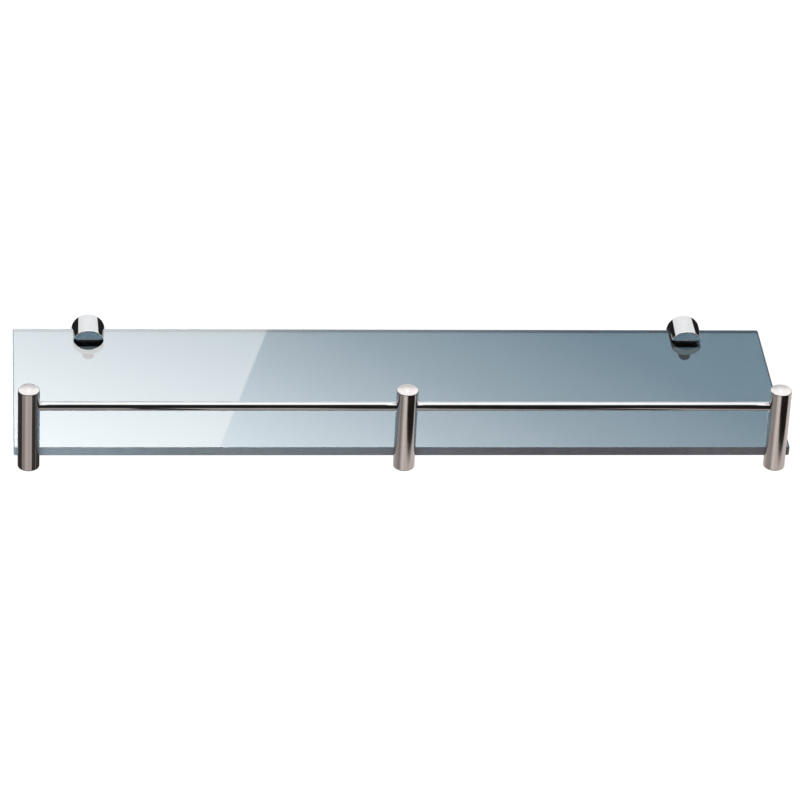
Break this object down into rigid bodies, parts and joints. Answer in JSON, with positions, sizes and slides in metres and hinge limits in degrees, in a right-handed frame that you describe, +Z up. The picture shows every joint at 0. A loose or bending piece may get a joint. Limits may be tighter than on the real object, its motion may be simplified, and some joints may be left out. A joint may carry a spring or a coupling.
{
  "type": "glass wall shelf",
  "caption": "Glass wall shelf with a front gallery rail on slotted round posts, gripped at the back by short slotted cylindrical wall brackets with clamp screws.",
  "frame": {"origin": "on the wall plane, midway between the two brackets, at the height of the brackets' axes", "axes": "+X along the shelf to its right end as seen from the room, +Y into the wall, +Z up; the shelf stands out from the wall along -Y"},
  "size_m": [0.5, 0.1635, 0.0652],
  "materials": {
    "glass": "clear tinted, ground edges",
    "polished_stainless": "polished stainless steel, faint turning marks",
    "bright_chrome": "bright chrome plate",
    "screw_steel": "blackened steel",
    "clear_pad": "translucent soft plastic",
    "clear_liner": "clear soft plastic",
    "black_foot": "hard black rubber"
  },
  "bodies": {
    "wall_brackets": {"bracket_body_left": "bright_chrome", "bracket_body_right": "bright_chrome", "bracket_top_pad_left": "clear_pad", "bracket_top_pad_right": "clear_pad"},
    "shelf": {"glass_panel": "glass", "gallery_post_left": "polished_stainless", "gallery_post_centre": "polished_stainless", "gallery_post_right": "polished_stainless", "gallery_rail_left": "polished_stainless", "gallery_rail_right": "polished_stainless", "post_liner_left": "clear_liner", "post_liner_centre": "clear_liner", "post_liner_right": "clear_liner", "post_grub_screw_left": "screw_steel", "post_grub_screw_centre": "screw_steel", "post_grub_screw_right": "screw_steel"},
    "clamp_foot_left": {"clamp_pad_left": "black_foot"},
    "clamp_foot_right": {"clamp_pad_right": "black_foot"},
    "clamp_turner_left": {"clamp_screw_left": "screw_steel"},
    "clamp_turner_right": {"clamp_screw_right": "screw_steel"}
  },
  "joints": [
    {"name": "shelf_pull_out", "type": "slide", "parent": "wall_brackets", "child": "shelf", "axis": [0, -1, 0], "range_m": [0, 0.055]},
    {"name": "clamp_foot_left_drop", "type": "slide", "parent": "wall_brackets", "child": "clamp_foot_left", "axis": [0, 0, -1], "range_m": [0, 0.002]},
    {"name": "clamp_screw_left_turn", "type": "hinge", "parent": "clamp_foot_left", "child": "clamp_turner_left", "pos_m": [-0.2, -0.0163, -0.0098], "axis": [0, 0, -1], "range_deg": [0, 576]},
    {"name": "clamp_foot_right_drop", "type": "slide", "parent": "wall_brackets", "child": "clamp_foot_right", "axis": [0, 0, -1], "range_m": [0, 0.002]},
    {"name": "clamp_screw_right_turn", "type": "hinge", "parent": "clamp_foot_right", "child": "clamp_turner_right", "pos_m": [0.2, -0.0163, -0.0098], "axis": [0, 0, -1], "range_deg": [0, 576]}
  ],
  "couplings": [
    {"joint": "clamp_screw_left_turn", "follows": "clamp_foot_left_drop", "rad_per_m": 5026.5},
    {"joint": "clamp_screw_right_turn", "follows": "clamp_foot_right_drop", "rad_per_m": 5026.5}
  ]
}
